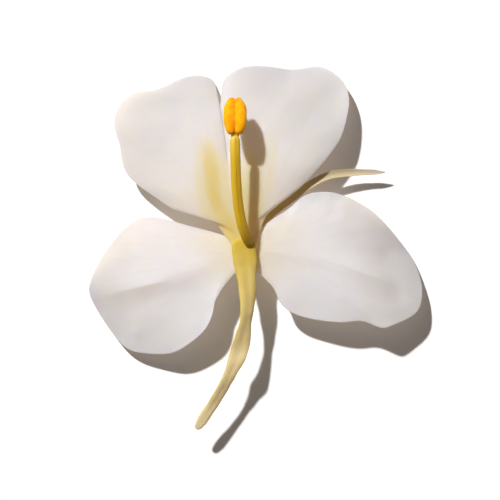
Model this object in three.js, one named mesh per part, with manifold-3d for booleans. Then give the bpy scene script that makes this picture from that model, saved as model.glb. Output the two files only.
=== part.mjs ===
// A white ginger lily blossom, picked and laid face up on a surface.
//
// A two-lobed lip and two broad side petals (staminodes) spread from a yellow throat. They droop
// outwards, so the blossom rests on the outer edges of the three of them and its throat hangs clear
// of the surface. The corolla tube runs back from the throat, three narrow corolla lobes lie under
// the petals, and one stamen arches over the lip. Its filament carries the anther's two pollen
// sacs on a pale connective, with the style in its groove and the stigma at the anther's end.
//
// Millimetres, +Z up. +Y runs from the tube's end to the lip, and +X to the right-hand staminode.
// The origin is the middle of the footprint, on the surface. The pieces are drawn from the throat,
// [x, y, height over the surface], and those of the anther from its base, along its own length.

import * as THREE from "three";
import { mergeVertices } from "three/addons/utils/BufferGeometryUtils.js";
import Module from "manifold-3d";

const wasm = await Module();
wasm.setup();

// Driving dimensions.
const THROAT = [-2.65, 1.0, 0]; // over the surface, from the origin
const PETAL_THICKNESS = 0.9;
const CLEARANCE = 0.3; // kept between pieces that grow together
const ANTHER_BASE = [-2.5, 26.0, 17.8]; // from the throat
const ANTHER_NOD = 27; // degrees, tip down

const WHITE = { color: 0xf1eeea, roughness: 0.55, metalness: 0 };
const CREAM = { color: 0xe3d6a4, roughness: 0.55, metalness: 0 };
const YELLOW_GREEN = { color: 0xb89a2c, roughness: 0.5, metalness: 0 };
const POLLEN = { color: 0xf2ac00, roughness: 0.85, metalness: 0 };

// ---------------------------------------------------------------- shaping

const points = (rows) => rows.map((row) => new THREE.Vector3(...row));

// Moves every vertex of a unit sphere, which is closed and faces out, to place(round, along):
// round goes once about the poles and along goes from one pole to the other, both from 0 to 1.
function shapedSphere(columns, rows, place) {
  const sphere = new THREE.SphereGeometry(1, columns, rows);
  const { position } = sphere.attributes;
  for (let i = 0; i < position.count; i++) {
    const row = Math.floor(i / (columns + 1));
    const column = i % (columns + 1);
    const spot = place((column % columns) / columns, row / rows);
    position.setXYZ(i, spot.x, spot.y, spot.z);
  }
  sphere.deleteAttribute("normal");
  sphere.deleteAttribute("uv");
  return mergeVertices(sphere, 1e-4);
}

// A petal is a sphere pressed flat. Its poles come to the petal's heart, above and below, and its
// equator follows the edge, a closed curve whose points hold their own heights. The surface bends
// from the heart's height to the edge's, slowly at first and then faster, as droop says.
function petal({ heart, edge, droop, columns, rows }) {
  const middle = new THREE.Vector3(...heart);
  const rim = new THREE.CatmullRomCurve3(points(edge), true);
  rim.arcLengthDivisions = 1200;
  return shapedSphere(columns, rows, (round, along) => {
    const out = 1 - Math.abs(2 * along - 1);
    const end = rim.getPointAt(1 - round);
    const spot = middle.clone().lerp(end, out);
    const half = (PETAL_THICKNESS / 2) * Math.sqrt(1 - out ** 8);
    spot.z = middle.z + (end.z - middle.z) * out ** droop + (along < 0.5 ? half : -half);
    return spot;
  });
}

// A limb is a sphere drawn out along a path. Its section is an ellipse whose half-width, half-height
// and turn about the path are read along the length from stations: [share of length, half-width,
// half-height, turn in degrees]. The ends are rounded, more bluntly the higher blunt is.
function limb({ path, stations, columns, rows, blunt, swell = 0 }) {
  const line = new THREE.CatmullRomCurve3(points(path));
  const up = new THREE.Vector3(0, 0, 1);
  const read = (share, k) => {
    const next = Math.max(1, stations.findIndex((s) => s[0] >= share));
    const [a, b] = [stations[next - 1], stations[next]];
    const mix = THREE.MathUtils.smoothstep(share, a[0], b[0]);
    return THREE.MathUtils.lerp(a[k], b[k], mix);
  };
  return shapedSphere(columns, rows, (round, along) => {
    const share = (1 - Math.cos(Math.PI * along)) / 2;
    const end = Math.sqrt(Math.max(0, 1 - Math.abs(2 * share - 1) ** blunt));
    const ahead = line.getTangentAt(share);
    const side = ahead.clone().cross(up).normalize();
    const over = side.clone().cross(ahead);
    const turn = THREE.MathUtils.degToRad(read(share, 3));
    const around = 2 * Math.PI * round;
    const width = Math.cos(around) * (read(share, 1) + swell) * end;
    const height = Math.sin(around) * (read(share, 2) + swell) * end;
    return line
      .getPointAt(share)
      .addScaledVector(side, width * Math.cos(turn) - height * Math.sin(turn))
      .addScaledVector(over, width * Math.sin(turn) + height * Math.cos(turn));
  });
}

// A closed geometry as a solid that can be cut.
function solid(geometry) {
  return new wasm.Manifold(
    new wasm.Mesh({
      numProp: 3,
      vertProperties: geometry.attributes.position.array,
      triVerts: new Uint32Array(geometry.index.array),
    }),
  );
}

// The geometry less each of the cutters, without the crumbs that they leave on their far side.
function trimmed(geometry, ...cutters) {
  const left = cutters.reduce((body, cutter) => body.subtract(solid(cutter)), solid(geometry));
  const largest = left.decompose().sort((a, b) => b.volume() - a.volume())[0];
  const { vertProperties, triVerts } = largest.getMesh();
  return new THREE.BufferGeometry()
    .setAttribute("position", new THREE.BufferAttribute(vertProperties, 3))
    .setIndex(new THREE.BufferAttribute(triVerts, 1));
}

// ---------------------------------------------------------------- petals

// The lip: two lobes with a narrow notch between them. Edges run clockwise, seen from above.
const LIP = {
  heart: [-4, 13, 8.9],
  droop: 2.2,
  columns: 76,
  rows: 12,
  edge: [
    [-3.2, -0.6, 8.2],
    [-5.6, 2.6, 7.9],
    [-8.3, 6.1, 7.6],
    [-12.3, 7.5, 7.2],
    [-17.0, 8.1, 6.9],
    [-22.1, 11.2, 6.5],
    [-29.8, 17.5, 5.7],
    [-31.6, 24.5, 4.9],
    [-33.0, 30.7, 4.0],
    [-31.6, 34.9, 3.0],
    [-28.3, 37.6, 2.1],
    [-22.1, 38.9, 0.9],
    [-15.0, 42.0, 0.1],
    [-10.6, 42.2, 0.3],
    [-8.1, 41.0, 0.6],
    [-6.4, 34.4, 4.5],
    [-5.6, 40.7, 0.7],
    [-3.9, 42.8, 0.8],
    [-0.5, 44.5, 0.3],
    [4.3, 44.8, 0.0],
    [12.0, 43.9, 0.2],
    [18.4, 44.6, 0.6],
    [22.2, 43.0, 1.7],
    [25.0, 40.1, 3.2],
    [26.1, 36.4, 5.3],
    [25.5, 31.5, 7.0],
    [23.7, 25.9, 7.8],
    [16.0, 16.1, 8.0],
    [12.4, 12.8, 7.9],
    [8.7, 10.8, 7.8],
    [6.3, 8.6, 8.0],
    [5.0, 6.4, 8.1],
    [4.0, 3.8, 8.2],
    [2.6, -0.4, 8.2],
  ],
};

const LEFT_STAMINODE = {
  heart: [-16, -9, 8.6],
  droop: 2,
  columns: 52,
  rows: 10,
  edge: [
    [0.0, -5.0, 7.4],
    [-4.0, -9.1, 7.9],
    [-7.6, -14.7, 8.7],
    [-8.2, -17.8, 8.9],
    [-9.9, -21.5, 8.6],
    [-13.7, -25.0, 7.8],
    [-18.1, -27.5, 6.7],
    [-24.0, -27.8, 5.0],
    [-29.3, -26.8, 3.2],
    [-32.8, -23.6, 1.8],
    [-39.0, -13.8, 0.0],
    [-39.4, -10.8, 0.3],
    [-35.3, -2.2, 3.0],
    [-28.3, 5.2, 6.6],
    [-23.9, 6.6, 7.5],
    [-13.7, 4.2, 7.9],
    [-4.6, 1.6, 7.2],
    [-1.0, -0.4, 7.2],
  ],
};

const RIGHT_STAMINODE = {
  heart: [22, -5, 8.4],
  droop: 2,
  columns: 56,
  rows: 10,
  edge: [
    [1.0, 0.6, 7.2],
    [5.0, 4.6, 7.0],
    [11.3, 8.9, 6.3],
    [14.7, 11.8, 6.0],
    [18.2, 12.8, 5.5],
    [23.0, 12.5, 4.9],
    [31.8, 8.2, 2.8],
    [40.1, -0.8, 0.0],
    [43.1, -5.6, 0.9],
    [44.5, -12.5, 4.2],
    [43.0, -17.3, 6.4],
    [36.6, -20.7, 8.6],
    [34.6, -21.3, 8.9],
    [29.0, -19.5, 8.5],
    [23.8, -19.9, 8.1],
    [12.6, -17.9, 7.2],
    [9.0, -15.3, 7.0],
    [7.1, -11.3, 7.2],
    [2.6, -6.6, 7.3],
    [1.0, -4.4, 7.2],
  ],
};

// ---------------------------------------------------------------- tube and lobes

// The corolla tube: a funnel under the throat, which narrows, flattens and twists a little.
const TUBE = {
  path: [
    [-0.6, 1.4, 9.2],
    [-0.3, -1.8, 9.0],
    [0.6, -12.2, 9.6],
    [0.3, -18.0, 10.0],
    [-1.6, -27.3, 9.7],
    [-5.5, -36.0, 8.8],
    [-12.2, -46.6, 7.5],
  ],
  stations: [
    [0, 3.4, 2.2, 0],
    [0.1, 3.05, 2.1, 0],
    [0.23, 2.25, 1.8, 0],
    [0.36, 1.75, 1.0, 25],
    [0.41, 1.65, 0.9, 32],
    [0.5, 2.2, 0.8, 22],
    [0.59, 2.15, 0.75, -5],
    [0.67, 1.6, 0.7, 12],
    [0.74, 1.55, 0.7, 28],
    [0.82, 1.5, 0.7, 25],
    [0.9, 1.35, 0.7, 10],
    [1, 1.3, 0.75, 0],
  ],
  columns: 16,
  rows: 44,
  blunt: 24,
};

// A corolla lobe is a narrow strap with a rounded point.
const lobe = (path) => ({
  path,
  stations: [
    [0, 0.75, 0.5, 0],
    [0.3, 0.85, 0.5, 0],
    [0.5, 1.0, 0.5, 0],
    [0.75, 0.95, 0.45, 0],
    [1, 0.45, 0.4, 0],
  ],
  columns: 10,
  rows: 18,
  blunt: 20,
});

const RIGHT_LOBE = lobe([
  [1.0, 1.2, 6.0],
  [6.9, 7.3, 6.3],
  [12.2, 11.5, 6.1],
  [16.3, 14.7, 5.9],
  [21.3, 17.0, 5.0],
  [27.0, 17.7, 4.2],
  [35.3, 17.8, 3.9],
]);

const LEFT_LOBE = lobe([
  [-1.8, 1.4, 5.6],
  [-8.2, 11.4, 4.6],
  [-16.4, 22.2, 3.0],
  [-19.4, 27.2, 2.0],
]);

const BACK_LOBE = lobe([
  [1.6, -2.6, 5.4],
  [12.0, -8.0, 3.4],
  [18.0, -9.8, 2.4],
  [29.0, -10.6, 1.0],
]);

// ---------------------------------------------------------------- stamen and style

const FILAMENT = {
  path: [
    [1.2, -0.5, 9.8],
    [-0.5, 3.6, 13.2],
    [-1.7, 9.4, 15.5],
    [-2.2, 15.4, 17.0],
    [-2.4, 21.0, 17.9],
    [-2.5, 25.5, 18.0],
  ],
  stations: [
    [0, 1.3, 0.9, -6],
    [0.5, 1.3, 0.8, -18],
    [1, 1.3, 0.8, -10],
  ],
  columns: 12,
  rows: 20,
  blunt: 30,
};

// The style lies along the filament's upper side, a little over its skin, and stops at the anther.
const STYLE_RISE = 1.6;

const STYLE = {
  path: FILAMENT.path.slice(1).map(([x, y, z]) => [x, y - 0.2, z + STYLE_RISE]),
  stations: [
    [0, 0.25, 0.25, 0],
    [1, 0.25, 0.25, 0],
  ],
  columns: 6,
  rows: 20,
  blunt: 30,
};

// The connective starts as a collar and runs on under the gap between the two pollen sacs.
const CONNECTIVE = {
  path: [
    [0, 0, 0],
    [0, 4.5, 0.1],
    [0, 9.5, -0.8],
  ],
  stations: [
    [0, 1.2, 0.8, 0],
    [0.2, 0.75, 0.7, 0],
    [1, 0.6, 0.6, 0],
  ],
  columns: 10,
  rows: 12,
  blunt: 16,
};

// A pollen sac is a fat spindle, on side -1 or +1 of the connective.
const sac = (side) => ({
  path: [
    [side * 1.4, 0.7, 0.9],
    [side * 1.55, 3.6, 1.3],
    [side * 1.55, 7.2, 1.0],
    [side * 1.3, 10.9, 0.1],
  ],
  stations: [
    [0, 1.0, 1.1, 0],
    [0.35, 1.3, 1.4, 0],
    [0.65, 1.3, 1.35, 0],
    [1, 0.9, 1.0, 0],
  ],
  columns: 14,
  rows: 14,
  blunt: 5,
});

// The stigma is a small knob under the anther's tip.
const STIGMA = {
  path: [
    [0, 10.0, -1.4],
    [0, 10.7, -2.0],
  ],
  stations: [
    [0, 0.3, 0.3, 0],
    [1, 0.6, 0.5, 0],
  ],
  columns: 10,
  rows: 8,
  blunt: 4,
};

// ---------------------------------------------------------------- assembly

function piece(name, geometry, look) {
  const mesh = new THREE.Mesh(geometry, new THREE.MeshStandardMaterial(look));
  mesh.name = name;
  return mesh;
}

const tubeSpace = limb({ ...TUBE, swell: CLEARANCE });
const filamentSpace = limb({ ...FILAMENT, swell: CLEARANCE });
const sacSpaces = [-1, 1].map((side) => limb({ ...sac(side), swell: CLEARANCE }));

const petals = new THREE.Group();
petals.add(
  piece("labellum", trimmed(petal(LIP), tubeSpace, filamentSpace), WHITE),
  piece("staminode_left", trimmed(petal(LEFT_STAMINODE), tubeSpace), WHITE),
  piece("staminode_right", trimmed(petal(RIGHT_STAMINODE), tubeSpace), WHITE),
);

const corolla = new THREE.Group();
corolla.add(
  piece("corolla_tube", trimmed(limb(TUBE), filamentSpace), CREAM),
  piece("corolla_lobe_right", trimmed(limb(RIGHT_LOBE), tubeSpace), CREAM),
  piece("corolla_lobe_left", trimmed(limb(LEFT_LOBE), tubeSpace), CREAM),
  piece("corolla_lobe_back", trimmed(limb(BACK_LOBE), tubeSpace), CREAM),
);

const anther = new THREE.Group();
anther.position.set(...ANTHER_BASE);
anther.rotation.x = -THREE.MathUtils.degToRad(ANTHER_NOD);
anther.add(
  piece("anther_connective", trimmed(limb(CONNECTIVE), ...sacSpaces), CREAM),
  piece("pollen_sac_left", limb(sac(-1)), POLLEN),
  piece("pollen_sac_right", limb(sac(1)), POLLEN),
  piece("stigma", limb(STIGMA), CREAM),
);

const stamen = new THREE.Group();
stamen.add(piece("filament", limb(FILAMENT), YELLOW_GREEN), piece("style", limb(STYLE), CREAM), anther);

const blossom = new THREE.Group();
blossom.position.set(...THROAT);
blossom.add(petals, corolla, stamen);

const part = new THREE.Group();
part.add(blossom);

export default part;
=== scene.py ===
"""A white ginger lily blossom, picked and laid face up on a pale surface.

A two-lobed lip and two side petals spread from a yellow throat, the corolla tube runs back from
it, three narrow corolla lobes lie under the petals, and one stamen arches over the lip. The
blossom's sizes are written in millimetres, measured from the throat, and become metres when a
piece is built. The stage's sizes are in metres.
"""

import bisect
import logging
import math
from dataclasses import dataclass, field
from typing import Any, Optional, Sequence, Union

import bmesh
import bpy
from mathutils import Matrix, Vector, noise


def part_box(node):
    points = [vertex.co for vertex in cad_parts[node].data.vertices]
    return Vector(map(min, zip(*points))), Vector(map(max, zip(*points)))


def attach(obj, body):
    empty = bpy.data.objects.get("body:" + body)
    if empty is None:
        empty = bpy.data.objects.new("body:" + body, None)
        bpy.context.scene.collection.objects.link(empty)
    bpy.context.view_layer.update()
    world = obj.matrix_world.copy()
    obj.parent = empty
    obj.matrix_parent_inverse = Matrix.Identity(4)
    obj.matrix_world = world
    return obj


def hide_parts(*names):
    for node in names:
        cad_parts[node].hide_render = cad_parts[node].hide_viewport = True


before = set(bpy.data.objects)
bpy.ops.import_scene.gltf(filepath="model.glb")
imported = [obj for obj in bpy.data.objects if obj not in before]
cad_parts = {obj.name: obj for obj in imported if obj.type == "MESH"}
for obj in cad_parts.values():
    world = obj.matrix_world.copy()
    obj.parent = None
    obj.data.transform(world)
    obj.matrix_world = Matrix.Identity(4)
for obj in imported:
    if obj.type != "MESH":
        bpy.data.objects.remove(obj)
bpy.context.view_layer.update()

LOG = logging.getLogger("blossom")
MM = 0.001
BODY = "root"

# The name of every piece's grain map, and the length of petal that one unit of it spans.
GRAIN = "grain"
GRAIN_REACH = 50.0

# Points of a mesh that lie closer together than this become one.
WELD = 1e-4

# The throat lies this far inside the lip's right and far sides.
LIP_REACH_RIGHT = 26.11
LIP_REACH_FAR = 44.81

Row = tuple[float, ...]


# ---------------------------------------------------------------- numbers and curves


def smoothstep(low: float, high: float, value: float) -> float:
    """Rises smoothly from 0 at low to 1 at high."""
    share = min(1.0, max(0.0, (value - low) / (high - low)))
    return share * share * (3.0 - 2.0 * share)


def mix(a: float, b: float, share: float) -> float:
    """Goes from a to b as share goes from 0 to 1."""
    return a + (b - a) * share


def bell(distance: float, width: float) -> float:
    """A soft hump: 1 at no distance, and nearly 0 at twice the width."""
    return math.exp(-((distance / width) ** 2))


def throat() -> Vector:
    """The throat's place on the surface, in millimetres, worked out from the lip's node."""
    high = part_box("labellum")[1]
    return Vector((high[0] / MM - LIP_REACH_RIGHT, high[1] / MM - LIP_REACH_FAR, 0.0))


class Route:
    """A smooth curve through a few points, read by its share of length."""

    STEPS = 24

    def __init__(self, rows: Sequence[Row]) -> None:
        """Samples the curve.

        Args:
            rows: The points, as (x, y, z), in order.
        """
        points = [Vector(row) for row in rows]
        knots = [points[0] * 2 - points[1], *points, points[-1] * 2 - points[-2]]
        self.spots: list[Vector] = []
        for i in range(len(points) - 1):
            for step in range(self.STEPS):
                self.spots.append(self._between(*knots[i : i + 4], step / self.STEPS))
        self.spots.append(points[-1])
        self.lengths = [0.0]
        for a, b in zip(self.spots, self.spots[1:]):
            self.lengths.append(self.lengths[-1] + (b - a).length)

    @staticmethod
    def _between(a: Vector, b: Vector, c: Vector, d: Vector, share: float) -> Vector:
        """The centripetal curve between the middle two of four points.

        Args:
            a: The point before the stretch.
            b: Where the stretch starts.
            c: Where it ends.
            d: The point after it.
            share: How far from b to c.

        Returns:
            The point on the curve.
        """
        t1 = math.sqrt((b - a).length)
        t2 = t1 + math.sqrt((c - b).length)
        t3 = t2 + math.sqrt((d - c).length)
        now = mix(t1, t2, share)
        ab = a.lerp(b, now / t1)
        bc = b.lerp(c, share)
        cd = c.lerp(d, (now - t2) / (t3 - t2))
        return ab.lerp(bc, now / t2).lerp(bc.lerp(cd, (now - t1) / (t3 - t1)), share)

    def share_of(self, index: int) -> float:
        """The share of the length at which a given point lies."""
        return self.lengths[index * self.STEPS] / self.lengths[-1]

    def at(self, share: float) -> Vector:
        """The point at a share of the length."""
        want = min(max(share, 0.0), 1.0) * self.lengths[-1]
        i = min(max(bisect.bisect_right(self.lengths, want) - 1, 0), len(self.spots) - 2)
        part = (want - self.lengths[i]) / max(self.lengths[i + 1] - self.lengths[i], 1e-9)
        return self.spots[i].lerp(self.spots[i + 1], part)

    def ahead(self, share: float) -> Vector:
        """The direction of the curve at a share of the length."""
        step = 0.01
        return (self.at(share + step) - self.at(share - step)).normalized()


# ---------------------------------------------------------------- shader wiring


class Wire:
    """A shader socket that Python's operators turn into Math nodes."""

    def __init__(self, board: "Board", socket: bpy.types.NodeSocket) -> None:
        """Keeps the board that the socket is on.

        Args:
            board: The material's board.
            socket: The output socket.
        """
        self.board = board
        self.socket = socket

    def _maths(self, operation: str, *values: "Value") -> "Wire":
        """Adds one Math node.

        Args:
            operation: The node's operation.
            values: Its inputs, in order.

        Returns:
            Its result.
        """
        return self.board.node("ShaderNodeMath", {"operation": operation}, dict(enumerate(values)))

    def __add__(self, other: "Value") -> "Wire":
        """This plus other."""
        return self._maths("ADD", self, other)

    def __mul__(self, other: "Value") -> "Wire":
        """This times other."""
        return self._maths("MULTIPLY", self, other)

    def __sub__(self, other: "Value") -> "Wire":
        """This less other."""
        return self._maths("SUBTRACT", self, other)

    def __rsub__(self, other: "Value") -> "Wire":
        """Other less this."""
        return self._maths("SUBTRACT", other, self)

    def __truediv__(self, other: "Value") -> "Wire":
        """This over other."""
        return self._maths("DIVIDE", self, other)

    def __pow__(self, other: "Value") -> "Wire":
        """This to the power of other."""
        return self._maths("POWER", self, other)

    def sine(self) -> "Wire":
        """The sine of this."""
        return self._maths("SINE", self)

    def size(self) -> "Wire":
        """This without its sign."""
        return self._maths("ABSOLUTE", self)

    def ramp(self, low: float, high: float) -> "Wire":
        """Rises smoothly from 0 where this is low to 1 where it is high."""
        settings = {"interpolation_type": "SMOOTHSTEP"}
        return self.board.node("ShaderNodeMapRange", settings, {0: self, 1: low, 2: high})


Value = Union[Wire, float, Sequence[float]]


class Board:
    """A material under construction, with one method that makes any node."""

    def __init__(self, name: str) -> None:
        """Starts an empty material.

        Args:
            name: The finish's name.
        """
        self.material = bpy.data.materials.new(name)
        self.material.use_nodes = True
        self.tree = self.material.node_tree
        self.tree.nodes.clear()

    def node(
        self,
        kind: str,
        settings: Optional[dict[str, Any]] = None,
        sockets: Optional[dict[Union[int, str], Value]] = None,
        output: Union[int, str, None] = 0,
    ) -> Optional[Wire]:
        """Makes a node.

        Args:
            kind: The node's type.
            settings: Its own settings, such as an operation.
            sockets: Values or wires for its inputs, by number or name.
            output: The output that is wanted, or None for a node without one.

        Returns:
            That output, if any.
        """
        made = self.tree.nodes.new(kind)
        for key, value in (settings or {}).items():
            setattr(made, key, value)
        for key, value in (sockets or {}).items():
            if isinstance(value, Wire):
                self.tree.links.new(value.socket, made.inputs[key])
            else:
                made.inputs[key].default_value = value
        return None if output is None else Wire(self, made.outputs[output])

    def place(self) -> tuple[Wire, Wire, Wire]:
        """The object's own x, y and z, in millimetres."""
        spot = self.node("ShaderNodeTexCoord", output="Object")
        scaled = self.node(
            "ShaderNodeVectorMath", {"operation": "SCALE"}, {0: spot, "Scale": 1 / MM}
        )
        return tuple(self.node("ShaderNodeSeparateXYZ", None, {0: scaled}, i) for i in range(3))

    def grain(self) -> tuple[Wire, Wire]:
        """The two coordinates of the piece's own grain map."""
        spot = self.node("ShaderNodeUVMap", {"uv_map": GRAIN})
        return tuple(self.node("ShaderNodeSeparateXYZ", None, {0: spot}, i) for i in range(2))

    def speckle(self, size: Row, detail: float = 2.0, seed: float = 0.0) -> Wire:
        """Soft noise on the object's own coordinates.

        Args:
            size: The size of a patch along x, y and z, in millimetres.
            detail: How much finer noise is added.
            seed: Another number gives another pattern.

        Returns:
            The noise, about 0.5 on average.
        """
        spot = self.node("ShaderNodeTexCoord", output="Object")
        scaled = self.node(
            "ShaderNodeMapping",
            None,
            {0: spot, "Location": (seed, seed, seed), "Scale": tuple(1 / (s * MM) for s in size)},
        )
        return self.node("ShaderNodeTexNoise", None, {"Vector": scaled, "Detail": detail, "Scale": 1.0})

    def fibre(self, across: float, along: float, detail: float = 2.0) -> Wire:
        """Noise drawn out along the grain.

        Args:
            across: Streaks over the grain's whole width.
            along: Changes over the grain's whole length.
            detail: How much finer noise is added.

        Returns:
            The noise, about 0.5 on average.
        """
        spot = self.node("ShaderNodeUVMap", {"uv_map": GRAIN})
        scaled = self.node("ShaderNodeMapping", None, {0: spot, "Scale": (across, along, 1.0)})
        return self.node("ShaderNodeTexNoise", None, {"Vector": scaled, "Detail": detail, "Scale": 1.0})

    def blend(self, share: Value, a: Value, b: Value) -> Wire:
        """Mixes two colours.

        Args:
            share: How much of b.
            a: The first colour.
            b: The second colour.

        Returns:
            The mixed colour.
        """
        return self.node("ShaderNodeMix", {"data_type": "RGBA"}, {0: share, 6: a, 7: b}, 2)

    def bump(self, height: Wire, depth: float, under: Optional[Wire] = None) -> Wire:
        """Turns a height into a shading normal.

        Args:
            height: The height, from 0 to 1.
            depth: How deep 1 is, in millimetres.
            under: A normal to build on.

        Returns:
            The normal.
        """
        sockets: dict[Union[int, str], Value] = {"Height": height, "Distance": depth * MM}
        if under is not None:
            sockets["Normal"] = under
        return self.node("ShaderNodeBump", None, sockets)

    def finish(
        self,
        constants: dict[str, Value],
        wires: dict[str, Wire],
        through: float = 0.0,
        through_tone: Row = (1.0, 1.0, 1.0, 1.0),
    ) -> bpy.types.Material:
        """Ends the material in a Principled shader.

        Args:
            constants: What is the same all over.
            wires: What changes over the surface.
            through: The share of the light that passes through each skin.
            through_tone: The colour of that light.

        Returns:
            The material.
        """
        shader = self.node("ShaderNodeBsdfPrincipled", None, {**constants, **wires})
        if through:
            glow = self.node("ShaderNodeBsdfTranslucent", None, {"Color": through_tone})
            shader = self.node("ShaderNodeMixShader", None, {0: through, 1: shader, 2: glow})
        self.node("ShaderNodeOutputMaterial", None, {"Surface": shader}, None)
        return self.material


def colour(red: int, green: int, blue: int) -> Row:
    """A linear colour from one written on the usual scale of 0 to 255."""
    parts = []
    for level in (red, green, blue):
        share = level / 255
        parts.append(share / 12.92 if share <= 0.04045 else ((share + 0.055) / 1.055) ** 2.4)
    return (*parts, 1.0)


# ---------------------------------------------------------------- finishes


@dataclass(frozen=True)
class PetalFinish:
    """White petal flesh with fine veins, creamy and then yellow towards the throat."""

    name: str = "petal_white"
    white: Row = colour(243, 246, 252)
    cool: Row = colour(208, 212, 218)
    cream: Row = colour(247, 240, 226)
    yellow: Row = colour(244, 222, 146)
    gold: Row = colour(226, 206, 108)
    cream_reach: float = 24.0
    yellow_reach: float = 11.0
    blotches: tuple[Row, ...] = ()
    veins: float = 46.0
    vein_tone: Row = colour(214, 208, 190)
    through: float = 0.45
    through_tone: Row = (1.0, 0.89, 0.77, 1.0)

    def material(self) -> bpy.types.Material:
        """Builds the material.

        Returns:
            The material.
        """
        board = Board(self.name)
        x, y, _ = board.place()
        home = throat()
        dx = x - home.x
        dy = y - home.y
        reach = (dx * dx + dy * dy) ** 0.5
        turn, out = board.grain()
        wander = board.speckle((9.0, 9.0, 9.0), 3.0)
        far = reach + (wander - 0.5) * 9.0
        drift = board.speckle((16.0, 16.0, 16.0), 2.0, 3.0)
        # Greyer towards the margins: partly the thin margins' own greyer tone, partly painted shade
        # that tones down outer slopes facing the light.
        outer = (far + (drift - 0.5) * 16.0).ramp(14.0, 44.0)
        tint = board.blend(outer, self.white, self.cool)
        tint = board.blend(1 - far.ramp(4.0, self.cream_reach), tint, self.cream)
        tint = board.blend((1 - far.ramp(2.0, self.yellow_reach)) * 0.95, tint, self.yellow)
        streaks = board.fibre(60.0, 3.0, 3.0)
        for bx, by, wide, tall, lean, strength in self.blotches:
            across = (dx - bx - (dy - by) * lean) / wide
            along = (dy - by) / tall
            spot = 1 - (across * across + along * along + (streaks - 0.5) * 0.7).ramp(0.0, 1.0)
            tint = board.blend(spot * strength, tint, self.gold)
        vein = (turn * self.veins * math.tau + (wander - 0.5) * 5.0).sine() * 0.5 + 0.5
        line = vein**6 * out.ramp(0.1, 0.5)
        tint = board.blend(line * 0.06, tint, self.vein_tone)
        skin = board.speckle((0.35, 0.35, 0.35), 2.0, 7.0)
        normal = board.bump(line, 0.02)
        normal = board.bump(skin, 0.012, normal)
        normal = board.bump(board.fibre(26.0, 4.0, 3.0), 0.1, normal)
        return board.finish(
            {
                "Subsurface Weight": 0.8,
                "Subsurface Radius": (1.0, 0.65, 0.3),
                "Subsurface Scale": 1.4 * MM,
                "Specular IOR Level": 0.15,
            },
            {"Base Color": tint, "Roughness": skin * 0.12 + 0.6, "Normal": normal},
            self.through,
            self.through_tone,
        )


@dataclass(frozen=True)
class FleshFinish:
    """Juicy plant tissue with long fibres, and edges of another colour."""

    name: str
    body: Row
    edge: Row
    tip: Row
    base: Row
    base_end: float = 0.35
    tip_start: float = 0.7
    edge_start: float = 0.3
    roughness: float = 0.42
    fibres: float = 30.0
    fibre_depth: float = 0.08
    through: float = 0.2
    through_tone: Row = (1.0, 0.8, 0.35, 1.0)

    def material(self) -> bpy.types.Material:
        """Builds the material.

        Returns:
            The material.
        """
        board = Board(self.name)
        around, along = board.grain()
        streaks = board.fibre(self.fibres, 5.0, 3.0)
        mottle = board.speckle((2.5, 2.5, 2.5), 3.0)
        run = along + (mottle - 0.5) * 0.2
        tint = board.blend(1 - run.ramp(0.0, self.base_end), self.body, self.base)
        tint = board.blend(run.ramp(self.tip_start, 1.0), tint, self.tip)
        side = (around * math.tau).sine().size()
        rim = (1 - side).ramp(self.edge_start, 1.0) * (streaks * 0.8 + 0.4)
        tint = board.blend(rim, tint, self.edge)
        tint = board.blend(streaks.ramp(0.45, 0.75) * 0.25, tint, self.edge)
        skin = board.speckle((0.25, 0.25, 0.25), 2.0, 5.0)
        normal = board.bump(streaks, self.fibre_depth)
        normal = board.bump(skin, 0.015, normal)
        return board.finish(
            {
                "Subsurface Weight": 0.35,
                "Subsurface Radius": (1.0, 0.7, 0.25),
                "Subsurface Scale": 0.8 * MM,
                "Specular IOR Level": 0.35,
            },
            {"Base Color": tint, "Roughness": streaks * 0.15 + self.roughness, "Normal": normal},
            self.through,
            self.through_tone,
        )


@dataclass(frozen=True)
class PollenFinish:
    """A dense coat of golden pollen grains."""

    name: str = "pollen_gold"
    ripe: Row = colour(240, 168, 0)
    light: Row = colour(226, 182, 34)
    deep: Row = colour(226, 138, 0)
    grain_size: float = 0.22

    def material(self) -> bpy.types.Material:
        """Builds the material.

        Returns:
            The material.
        """
        board = Board(self.name)
        around, _ = board.grain()
        spot = board.node("ShaderNodeTexCoord", output="Object")
        settings = {"feature": "F1"}
        sockets = {"Vector": spot, "Scale": 1 / (self.grain_size * MM)}
        cells = board.node("ShaderNodeTexVoronoi", settings, sockets)
        patches = board.speckle((1.6, 3.0, 1.6), 3.0)
        tint = board.blend(patches.ramp(0.35, 0.7), self.ripe, self.deep)
        side = 1 - (around * math.tau).sine().size()
        tint = board.blend(side.ramp(0.25, 1.0) * 0.8, tint, self.light)
        # Painted shade: the gaps between the domed grains are painted deeper orange.
        tint = board.blend(cells.ramp(0.3, 0.9) * 0.35, tint, self.deep)
        normal = board.bump(1 - cells, 0.06)
        return board.finish(
            {
                "Subsurface Weight": 0.2,
                "Subsurface Radius": (1.0, 0.55, 0.1),
                "Subsurface Scale": 0.5 * MM,
                "Specular IOR Level": 0.15,
            },
            {"Base Color": tint, "Roughness": cells * 0.1 + 0.8, "Normal": normal},
        )


@dataclass(frozen=True)
class FloorFinish:
    """A plain pale matt surface."""

    name: str = "floor_white"
    tone: float = 0.96

    def material(self) -> bpy.types.Material:
        """Builds the material.

        Returns:
            The material.
        """
        board = Board(self.name)
        shade = board.speckle((60.0, 60.0, 60.0), 1.0)
        level = (self.tone, self.tone, self.tone, 1.0)
        tint = board.blend(shade * 0.02, level, (0.85, 0.85, 0.85, 1.0))
        return board.finish({"Roughness": 0.9, "Specular IOR Level": 0.0}, {"Base Color": tint})


# ---------------------------------------------------------------- shaping


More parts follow.
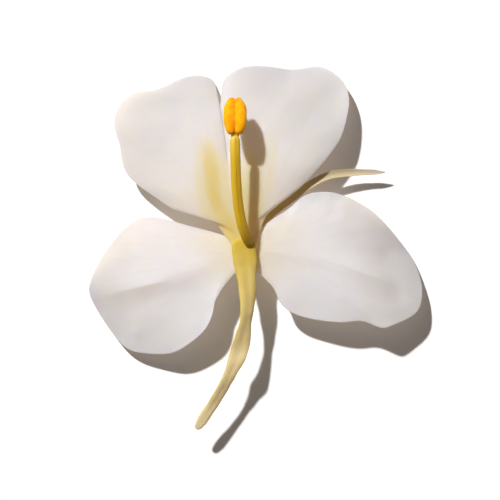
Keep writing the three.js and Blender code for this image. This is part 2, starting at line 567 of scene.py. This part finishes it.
def mesh_object(name: str, bm: bmesh.types.BMesh, finish: bpy.types.Material) -> bpy.types.Object:
    """Turns a bmesh in millimetres into a smooth object in metres.

    Args:
        name: The piece's name.
        bm: The shape, which is freed.
        finish: Its material.

    Returns:
        The object, at the origin.
    """
    bmesh.ops.scale(bm, vec=(MM, MM, MM), verts=bm.verts)
    mesh = bpy.data.meshes.new(name)
    bm.to_mesh(mesh)
    bm.free()
    mesh.shade_smooth()
    mesh.materials.append(finish)
    piece = bpy.data.objects.new(name, mesh)
    bpy.context.collection.objects.link(piece)
    return piece


def subdivide(piece: bpy.types.Object, levels: int) -> None:
    """Adds a Subdivision Surface modifier.

    Args:
        piece: The object.
        levels: Its levels, in view and render alike.
    """
    modifier = piece.modifiers.new("rounded", "SUBSURF")
    modifier.levels = levels
    modifier.render_levels = levels


def grid(columns: int, rows: int) -> tuple[bmesh.types.BMesh, bmesh.types.BMLayerItem]:
    """A flat grid from 0 to 1 each way, with its grain map.

    Args:
        columns: Faces along x.
        rows: Faces along y.

    Returns:
        The bmesh and its grain map.
    """
    bm = bmesh.new()
    grain = bm.loops.layers.uv.new(GRAIN)
    bmesh.ops.create_grid(bm, x_segments=columns, y_segments=rows, size=0.5, calc_uvs=True)
    bmesh.ops.translate(bm, vec=(0.5, 0.5, 0.0), verts=bm.verts)
    return bm, grain


@dataclass(frozen=True)
class Crease:
    """A fold or dimple: a soft ridge along a line, or a hollow where depth is negative."""

    start: tuple[float, float]
    end: tuple[float, float]
    width: float
    height: float

    def lift(self, spot: Vector) -> float:
        """How far it lifts the petal.

        Args:
            spot: The place, measured from the throat.

        Returns:
            The lift, in millimetres.
        """
        start = Vector(self.start)
        span = Vector(self.end) - start
        away = spot.to_2d() - start
        share = min(1.0, max(0.0, away.dot(span) / max(span.length_squared, 1e-6)))
        return self.height * bell((away - span * share).length, self.width)


@dataclass
class Petal:
    """A broad thin petal: chevrons run from its midline out to its margin."""

    node: str
    midline: Sequence[Row]
    margin: Sequence[Row]
    tip: int
    finish: PetalFinish
    creases: Sequence[Crease] = ()
    droop: float = 2.2
    columns: int = 160
    rows: int = 26
    thickness: float = 0.42
    margin_thickness: float = 0.16
    ruffle: float = 0.3
    seed: float = 0.0

    def _spot(self, around: float, out: float) -> Vector:
        """A point of the petal's middle surface.

        Args:
            around: From 0 at one side of the claw to 1 at the other, along the margin.
            out: From 0 on the midline to 1 on the margin.

        Returns:
            The point, measured from the throat.
        """
        tip = self._rim.share_of(self.tip)
        along = 1 - abs(1 - 2 * around)
        share = along * tip if around < 0.5 else 1 - along * (1 - tip)
        heart = self._heart.at(along)
        rim = self._rim.at(share)
        spot = heart.lerp(rim, out)
        spot.z = mix(heart.z, rim.z, out**self.droop)
        spot.z += sum(crease.lift(spot) for crease in self.creases)
        waves = Vector((spot.x * 0.16, spot.y * 0.16, self.seed))
        spot.z += noise.noise(waves) * self.ruffle * smoothstep(0.35, 1.0, out)
        spot.z = max(spot.z, 0.5 * self.margin_thickness)
        return spot

    def build(self) -> bpy.types.Object:
        """Models the petal and dresses it.

        Returns:
            The object.
        """
        self._heart = Route(self.midline)
        self._rim = Route(self.margin)
        claw = Vector(self.midline[0])
        home = throat()
        bm, grain = grid(self.columns, self.rows)
        weights = bm.verts.layers.deform.verify()
        for vert in bm.verts:
            around, out = vert.co.x, vert.co.y
            vert.co = self._spot(around, out)
            vert[weights][0] = 1 - smoothstep(0.7, 1.0, out)
        for face in bm.faces:
            for loop in face.loops:
                away = (loop.vert.co - claw).to_2d()
                turn = math.atan2(away.x, away.y) / math.tau
                loop[grain].uv = (turn, away.length / GRAIN_REACH)
        bmesh.ops.remove_doubles(bm, verts=bm.verts, dist=WELD)
        bmesh.ops.translate(bm, vec=home, verts=bm.verts)
        piece = mesh_object(f"{self.node}_petal", bm, self.finish.material())
        piece.vertex_groups.new(name="flesh")
        wall = piece.modifiers.new("flesh", "SOLIDIFY")
        wall.thickness = self.thickness * MM
        wall.offset = 0.0
        wall.vertex_group = "flesh"
        wall.thickness_vertex_group = self.margin_thickness / self.thickness
        subdivide(piece, 1)
        return piece


@dataclass
class Limb:
    """A long piece with an oval section, such as the tube, the filament or a pollen sac.

    A station is (share of length, half-width, half-height, turn in degrees, dish, groove). The
    dish curves the section up at its sides, and the groove runs along its upper side.
    """

    name: str
    path: Sequence[Row]
    stations: Sequence[Row]
    finish: bpy.types.Material
    columns: int = 32
    rows: int = 60
    blunt: float = 16.0
    bumps: float = 0.0
    bump_size: float = 1.0
    matrix: Matrix = field(default_factory=Matrix)
    levels: int = 1

    def _read(self, share: float) -> list[float]:
        """The station's values at a share of the length."""
        later = [i for i, row in enumerate(self.stations) if row[0] >= share]
        after = max(1, later[0] if later else len(self.stations) - 1)
        low, high = self.stations[after - 1], self.stations[after]
        part = smoothstep(low[0], high[0], share)
        return [mix(a, b, part) for a, b in zip(low[1:], high[1:])]

    def _spot(self, around: float, along: float) -> Vector:
        """A point of the skin.

        Args:
            around: Once around the section, from 0 to 1.
            along: From 0 at one end to 1 at the other.

        Returns:
            The point, measured from the throat.
        """
        share = (1 - math.cos(math.pi * along)) / 2
        end = math.sqrt(max(0.0, 1 - abs(2 * share - 1) ** self.blunt))
        width, height, turn, dish, groove = self._read(share)
        ahead = self._line.ahead(share)
        side = ahead.cross(Vector((0, 0, 1))).normalized()
        over = side.cross(ahead)
        angle = -math.tau * around
        flat = math.cos(angle)
        across = width * flat * end
        up = height * math.sin(angle) * end + dish * (flat * flat - 0.5) * end
        up -= groove * bell(flat, 0.35) * smoothstep(0.0, 0.6, math.sin(angle)) * end
        lean = math.radians(turn)
        spot = self._line.at(share)
        spot = spot + side * (across * math.cos(lean) - up * math.sin(lean))
        spot = spot + over * (across * math.sin(lean) + up * math.cos(lean))
        if self.bumps:
            rough = noise.fractal(spot / self.bump_size, 1.0, 2.0, 3)
            spot = spot + (spot - self._line.at(share)).normalized() * rough * self.bumps
        return spot

    def build(self) -> bpy.types.Object:
        """Models the limb and dresses it.

        Returns:
            The object.
        """
        self._line = Route(self.path)
        bm, _ = grid(self.columns, self.rows)
        for vert in bm.verts:
            vert.co = self._spot(vert.co.x % 1.0, vert.co.y)
        bmesh.ops.remove_doubles(bm, verts=bm.verts, dist=WELD)
        bmesh.ops.recalc_face_normals(bm, faces=bm.faces)
        bmesh.ops.transform(bm, matrix=self.matrix, verts=bm.verts)
        bmesh.ops.translate(bm, vec=throat(), verts=bm.verts)
        piece = mesh_object(self.name, bm, self.finish)
        subdivide(piece, self.levels)
        return piece


def settle(piece: bpy.types.Object, node: str) -> None:
    """Puts a finished piece in its node's place.

    Args:
        piece: The object.
        node: The node that it stands for.
    """
    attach(piece, BODY)
    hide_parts(node)
    LOG.info("%s: %d faces", piece.name, len(piece.data.polygons))


# ---------------------------------------------------------------- sub-assemblies


@dataclass
class Perianth:
    """The three broad petals: the lip and the two staminodes."""

    lip_margin: Sequence[Row] = (
        (-3.2, -0.6, 8.2),
        (-5.6, 2.6, 7.9),
        (-8.3, 6.1, 7.6),
        (-12.3, 7.5, 7.2),
        (-17.0, 8.1, 6.9),
        (-22.1, 11.2, 6.5),
        (-29.8, 17.5, 5.7),
        (-31.6, 24.5, 4.9),
        (-33.0, 30.7, 4.0),
        (-31.6, 34.9, 3.0),
        (-28.3, 37.6, 2.1),
        (-22.1, 38.9, 0.9),
        (-15.0, 42.0, 0.2),
        (-10.6, 42.2, 0.4),
        (-8.1, 41.0, 0.6),
        (-6.4, 34.4, 4.5),
        (-5.6, 40.7, 0.7),
        (-3.9, 42.8, 0.8),
        (-0.5, 44.5, 0.3),
        (4.3, 44.8, 0.2),
        (12.0, 43.9, 0.3),
        (18.4, 44.6, 0.6),
        (22.2, 43.0, 1.7),
        (25.0, 40.1, 3.2),
        (26.1, 36.4, 5.3),
        (25.5, 31.5, 7.0),
        (23.7, 25.9, 7.8),
        (16.0, 16.1, 8.0),
        (12.4, 12.8, 7.9),
        (8.7, 10.8, 7.8),
        (6.3, 8.6, 8.0),
        (5.0, 6.4, 8.1),
        (4.0, 3.8, 8.2),
        (2.6, -0.4, 8.2),
    )
    left_margin: Sequence[Row] = (
        (0.0, -5.0, 7.4),
        (-4.0, -9.1, 7.9),
        (-7.6, -14.7, 8.7),
        (-8.2, -17.8, 8.9),
        (-9.9, -21.5, 8.6),
        (-13.7, -25.0, 7.8),
        (-18.1, -27.5, 6.7),
        (-24.0, -27.8, 5.0),
        (-29.3, -26.8, 3.2),
        (-32.8, -23.6, 1.8),
        (-39.0, -13.8, 0.1),
        (-39.4, -10.8, 0.3),
        (-35.3, -2.2, 3.0),
        (-28.3, 5.2, 6.6),
        (-23.9, 6.6, 7.5),
        (-13.7, 4.2, 7.9),
        (-4.6, 1.6, 7.2),
        (-1.0, -0.4, 7.2),
    )
    right_margin: Sequence[Row] = (
        (1.0, 0.6, 7.2),
        (5.0, 4.6, 7.0),
        (11.3, 8.9, 6.3),
        (14.7, 11.8, 6.0),
        (18.2, 12.8, 5.5),
        (23.0, 12.5, 4.9),
        (31.8, 8.2, 2.8),
        (40.1, -0.8, 0.1),
        (43.1, -5.6, 0.9),
        (44.5, -12.5, 4.2),
        (43.0, -17.3, 6.4),
        (36.6, -20.7, 8.6),
        (34.6, -21.3, 8.9),
        (29.0, -19.5, 8.5),
        (23.8, -19.9, 8.1),
        (12.6, -17.9, 7.2),
        (9.0, -15.3, 7.0),
        (7.1, -11.3, 7.2),
        (2.6, -6.6, 7.3),
        (1.0, -4.4, 7.2),
    )

    def lip(self) -> Petal:
        """The two-lobed lip."""
        return Petal(
            node="labellum",
            midline=((-0.3, -1.6, 8.3), (-1.6, 6.0, 9.1), (-3.2, 14.0, 9.2), (-5.0, 25.0, 6.4)),
            margin=self.lip_margin,
            tip=15,
            finish=PetalFinish(
                name="petal_lip",
                cream_reach=36.0,
                yellow_reach=9.0,
                blotches=(
                    (-7.0, 12.0, 6.5, 17.0, -0.15, 0.45),
                    (-8.2, 17.0, 2.6, 11.0, -0.1, 0.6),
                    (-5.7, 7.5, 2.4, 8.5, -0.45, 0.5),
                    (1.0, 10.0, 4.5, 15.0, 0.0, 0.55),
                    (5.6, 19.0, 3.0, 13.0, 0.1, 0.2),
                ),
            ),
            creases=(
                Crease((-29.0, 36.5), (-11.0, 39.5), 2.4, 0.3),
                Crease((-25.0, 33.0), (-16.0, 35.0), 2.6, -0.3),
                Crease((19.5, 30.0), (22.5, 33.5), 2.0, -0.25),
            ),
            columns=200,
            rows=28,
            seed=1.0,
        )

    def left(self) -> Petal:
        """The left staminode."""
        return Petal(
            node="staminode_left",
            midline=((-0.8, -2.6, 7.4), (-8.0, -4.5, 8.0), (-14.0, -7.5, 8.3), (-21.0, -9.8, 8.2)),
            margin=self.left_margin,
            tip=10,
            finish=PetalFinish(name="petal_left", cream_reach=18.0, yellow_reach=4.5),
            creases=(
                Crease((-12.0, -6.5), (-31.0, -11.0), 3.0, 0.2),
                Crease((-14.0, -11.5), (-28.0, -15.0), 3.0, -0.2),
                Crease((-27.5, -22.4), (-27.5, -22.4), 1.8, 0.3),
            ),
            droop=1.8,
            seed=5.0,
        )

    def right(self) -> Petal:
        """The right staminode."""
        return Petal(
            node="staminode_right",
            midline=((1.6, -1.8, 7.3), (9.0, -2.5, 7.9), (17.0, -4.2, 8.2), (25.0, -6.0, 8.1)),
            margin=self.right_margin,
            tip=9,
            finish=PetalFinish(name="petal_right", cream_reach=20.0, yellow_reach=5.0),
            creases=(
                Crease((35.5, -4.0), (38.5, -13.0), 2.6, -0.45),
                Crease((5.0, -5.5), (20.0, -7.0), 2.0, -0.1),
                Crease((22.8, 10.5), (22.2, 7.5), 1.5, -0.25),
            ),
            droop=1.8,
            seed=9.0,
        )

    def build(self) -> None:
        """Builds the petals and puts them in their nodes' places."""
        for petal in (self.lip(), self.left(), self.right()):
            settle(petal.build(), petal.node)


@dataclass
class Corolla:
    """The corolla tube and its three narrow lobes."""

    tube_path: Sequence[Row] = (
        (-0.6, 1.4, 9.2),
        (-0.3, -1.8, 9.0),
        (0.6, -12.2, 9.6),
        (0.3, -18.0, 10.0),
        (-1.6, -27.3, 9.7),
        (-5.5, -36.0, 8.8),
        (-12.2, -46.6, 7.5),
    )
    tube_stations: Sequence[Row] = (
        (0.0, 3.3, 1.2, 0, 0.6, 0.0),
        (0.1, 3.05, 1.2, 4, 0.4, 0.15),
        (0.23, 2.3, 1.2, 4, 0.2, 0.2),
        (0.36, 1.75, 0.8, 25, 0.2, 0.1),
        (0.41, 1.65, 0.65, 32, 0.2, 0.1),
        (0.5, 2.2, 0.6, 22, 0.2, 0.1),
        (0.59, 2.15, 0.55, -5, 0.2, 0.1),
        (0.67, 1.6, 0.5, 12, 0.1, 0.1),
        (0.74, 1.55, 0.5, 28, 0.1, 0.1),
        (0.82, 1.5, 0.5, 25, 0.1, 0.1),
        (0.9, 1.35, 0.5, 10, 0.1, 0.05),
        (1.0, 1.3, 0.55, 0, 0.1, 0.0),
    )
    lobe_stations: Sequence[Row] = (
        (0.0, 0.75, 0.35, 0, 0.2, 0.0),
        (0.3, 0.85, 0.3, 0, 0.2, 0.0),
        (0.5, 1.0, 0.3, 0, 0.4, 0.0),
        (0.75, 0.95, 0.28, 0, 0.5, 0.0),
        (0.92, 0.7, 0.28, 0, 0.3, 0.0),
        (1.0, 0.3, 0.25, 0, 0.1, 0.0),
    )
    lobe_paths: dict[str, Sequence[Row]] = field(
        default_factory=lambda: {
            "corolla_lobe_right": (
                (1.0, 1.2, 6.0),
                (6.9, 7.3, 6.3),
                (12.2, 11.5, 6.1),
                (16.3, 14.7, 5.9),
                (21.3, 17.0, 5.0),
                (27.0, 17.7, 4.2),
                (35.3, 17.8, 3.9),
            ),
            "corolla_lobe_left": (
                (-1.8, 1.4, 5.6),
                (-8.2, 11.4, 4.6),
                (-16.4, 22.2, 3.0),
                (-19.4, 27.2, 2.0),
            ),
            "corolla_lobe_back": (
                (1.6, -2.6, 5.4),
                (12.0, -8.0, 3.4),
                (18.0, -9.8, 2.4),
                (29.0, -10.6, 1.0),
            ),
        }
    )

    def tube(self) -> None:
        """Builds the tube."""
        finish = FleshFinish(
            name="tube_flesh",
            body=colour(226, 210, 166),
            edge=colour(208, 184, 70),
            tip=colour(212, 203, 172),
            base=colour(208, 178, 20),
            base_end=0.68,
        )
        limb = Limb(
            name="corolla_tube_flesh",
            path=self.tube_path,
            stations=self.tube_stations,
            finish=finish.material(),
            rows=120,
            blunt=24,
            bumps=0.12,
            bump_size=3.0,
        )
        settle(limb.build(), "corolla_tube")

    def lobes(self) -> None:
        """Builds the three lobes."""
        finish = FleshFinish(
            name="lobe_flesh",
            body=colour(203, 191, 164),
            edge=colour(206, 190, 140),
            # Painted shade: the greyer tip is painted darker where it lies in full light.
            tip=colour(187, 183, 173),
            # Painted light: the bright gold base stands in for light passing through the lip onto the
            # shaded base of the lobe.
            base=colour(246, 218, 130),
            base_end=0.75,
            fibres=16.0,
        ).material()
        for node, path in self.lobe_paths.items():
            limb = Limb(
                name=f"{node}_flesh",
                path=path,
                stations=self.lobe_stations,
                finish=finish,
                columns=28,
                rows=70,
                blunt=20,
                bumps=0.05,
                bump_size=2.0,
            )
            settle(limb.build(), node)

    def build(self) -> None:
        """Builds the tube and its lobes."""
        self.tube()
        self.lobes()


@dataclass
class Stamen:
    """The filament, the anther on its connective, and the style with its stigma."""

    path: Sequence[Row] = (
        (1.2, -0.5, 9.8),
        (-0.5, 3.6, 13.2),
        (-1.7, 9.4, 15.5),
        (-2.2, 15.4, 17.0),
        (-2.4, 21.0, 17.9),
        (-2.5, 26.4, 18.0),
    )
    anther_base: Row = (-2.5, 26.0, 17.8)
    anther_nod: float = 27.0
    style_rise: float = 0.7

    def tilt(self) -> Matrix:
        """How the anther stands on the end of the filament."""
        lean = Matrix.Rotation(-math.radians(self.anther_nod), 4, "X")
        return Matrix.Translation(self.anther_base) @ lean

    def filament(self) -> None:
        """Builds the filament."""
        finish = FleshFinish(
            name="filament_flesh",
            body=colour(224, 184, 34),
            edge=colour(186, 156, 30),
            tip=colour(244, 206, 76),
            base=colour(190, 156, 26),
            fibres=20.0,
        )
        limb = Limb(
            name="filament_flesh",
            path=self.path,
            stations=(
                (0.0, 1.3, 0.9, -6, 0.0, 0.0),
                (0.5, 1.3, 0.8, -18, 0.0, 0.0),
                (1.0, 1.3, 0.8, -10, 0.0, 0.0),
            ),
            finish=finish.material(),
            blunt=30,
            bumps=0.04,
        )
        settle(limb.build(), "filament")

    def style(self) -> None:
        """Builds the style and the stigma."""
        finish = FleshFinish(
            name="style_flesh",
            body=colour(220, 182, 40),
            edge=colour(194, 162, 34),
            tip=colour(240, 204, 80),
            base=colour(190, 156, 28),
        ).material()
        thread = Limb(
            name="style_thread",
            path=[(x, y - 0.2, z + self.style_rise) for x, y, z in self.path[1:]],
            stations=((0.0, 0.18, 0.18, 0, 0.0, 0.0), (1.0, 0.18, 0.18, 0, 0.0, 0.0)),
            finish=finish,
            columns=12,
            rows=60,
            blunt=30,
        )
        settle(thread.build(), "style")
        knob = Limb(
            name="stigma_knob",
            path=((0, 9.0, -0.7), (0, 9.9, -1.2), (0, 10.6, -1.8)),
            stations=((0.0, 0.45, 0.4, 0, 0.0, 0.0), (1.0, 0.6, 0.5, 0, 0.0, 0.1)),
            finish=finish,
            columns=20,
            rows=16,
            blunt=4,
            matrix=self.tilt(),
            bumps=0.06,
            bump_size=0.4,
        )
        settle(knob.build(), "stigma")

    def anther(self) -> None:
        """Builds the connective and its two pollen sacs."""
        pale = FleshFinish(
            name="connective_flesh",
            body=colour(232, 194, 80),
            edge=colour(222, 182, 66),
            tip=colour(236, 198, 80),
            base=colour(228, 192, 78),
        )
        strip = Limb(
            name="anther_connective_flesh",
            path=((0, 0, 0), (0, 4.5, 0.1), (0, 9.5, -0.8)),
            stations=(
                (0.0, 1.2, 0.8, 0, 0.0, 0.0),
                (0.2, 0.75, 0.7, 0, 0.0, 0.0),
                (1.0, 0.6, 0.6, 0, 0.0, 0.0),
            ),
            finish=pale.material(),
            columns=24,
            rows=40,
            blunt=16,
            matrix=self.tilt(),
        )
        settle(strip.build(), "anther_connective")
        gold = PollenFinish().material()
        for side, word in ((-1, "left"), (1, "right")):
            sac = Limb(
                name=f"pollen_sac_{word}_coat",
                path=(
                    (side * 0.8, 0.4, 0.9),
                    (side * 1.1, 3.6, 1.3),
                    (side * 1.1, 7.2, 1.0),
                    (side * 0.75, 11.1, 0.1),
                ),
                stations=(
                    (0.0, 1.2, 1.1, 0, 0.0, 0.0),
                    (0.35, 1.75, 1.35, 0, 0.0, 0.0),
                    (0.65, 1.75, 1.3, 0, 0.0, 0.0),
                    (1.0, 1.0, 1.0, 0, 0.0, 0.0),
                ),
                finish=gold,
                columns=48,
                rows=64,
                blunt=10,
                bumps=0.07,
                bump_size=0.35,
                matrix=self.tilt(),
            )
            settle(sac.build(), f"pollen_sac_{word}")

    def build(self) -> None:
        """Builds the stamen and the style."""
        self.filament()
        self.style()
        self.anther()


# ---------------------------------------------------------------- stage


@dataclass
class Stage:
    """The floor, the camera straight above, and a studio light from the far left."""

    floor_size: float = 3.0
    camera_height: float = 0.8
    view_width: float = 0.125
    view_level: float = 0.008
    view_centre: tuple[float, float] = (-0.00144, -0.00075)
    key_towards: Row = (-0.396, 0.587, 0.707)
    key_distance: float = 4.0
    key_size: float = 0.2
    key_power: float = 225.0
    fill_tone: Row = (1.0, 0.86, 0.78, 1.0)
    fill_strength: float = 0.15

    def floor(self) -> None:
        """Lays the floor."""
        bm = bmesh.new()
        bmesh.ops.create_grid(bm, x_segments=1, y_segments=1, size=self.floor_size / 2)
        mesh = bpy.data.meshes.new("floor")
        bm.to_mesh(mesh)
        bm.free()
        mesh.materials.append(FloorFinish().material())
        piece = bpy.data.objects.new("floor", mesh)
        bpy.context.collection.objects.link(piece)

    def camera(self) -> None:
        """Hangs the camera straight above, with the lip at the top of its view."""
        data = bpy.data.cameras.new("camera")
        data.lens = data.sensor_width * (self.camera_height - self.view_level) / self.view_width
        data.clip_end = 10.0
        camera = bpy.data.objects.new("camera", data)
        camera.location = (*self.view_centre, self.camera_height)
        bpy.context.collection.objects.link(camera)
        bpy.context.scene.camera = camera

    def lights(self) -> None:
        """Sets the key light and an even fill."""
        data = bpy.data.lights.new("key", "AREA")
        data.shape = "DISK"
        data.size = self.key_size
        data.energy = self.key_power
        key = bpy.data.objects.new("key", data)
        towards = Vector(self.key_towards).normalized()
        key.location = towards * self.key_distance
        key.rotation_euler = towards.to_track_quat("Z", "Y").to_euler()
        bpy.context.collection.objects.link(key)
        world = bpy.data.worlds.new("fill")
        world.use_nodes = True
        sky = world.node_tree.nodes["Background"]
        sky.inputs["Color"].default_value = self.fill_tone
        sky.inputs["Strength"].default_value = self.fill_strength
        bpy.context.scene.world = world
        bpy.context.scene.view_settings.view_transform = "Standard"

    def build(self) -> None:
        """Sets the stage."""
        self.floor()
        self.camera()
        self.lights()


def main() -> None:
    """Builds the stage and the blossom."""
    logging.basicConfig(level=logging.INFO, format="%(name)s: %(message)s")
    Stage().build()
    Perianth().build()
    Corolla().build()
    Stamen().build()


if __name__ == "__main__":
    main()
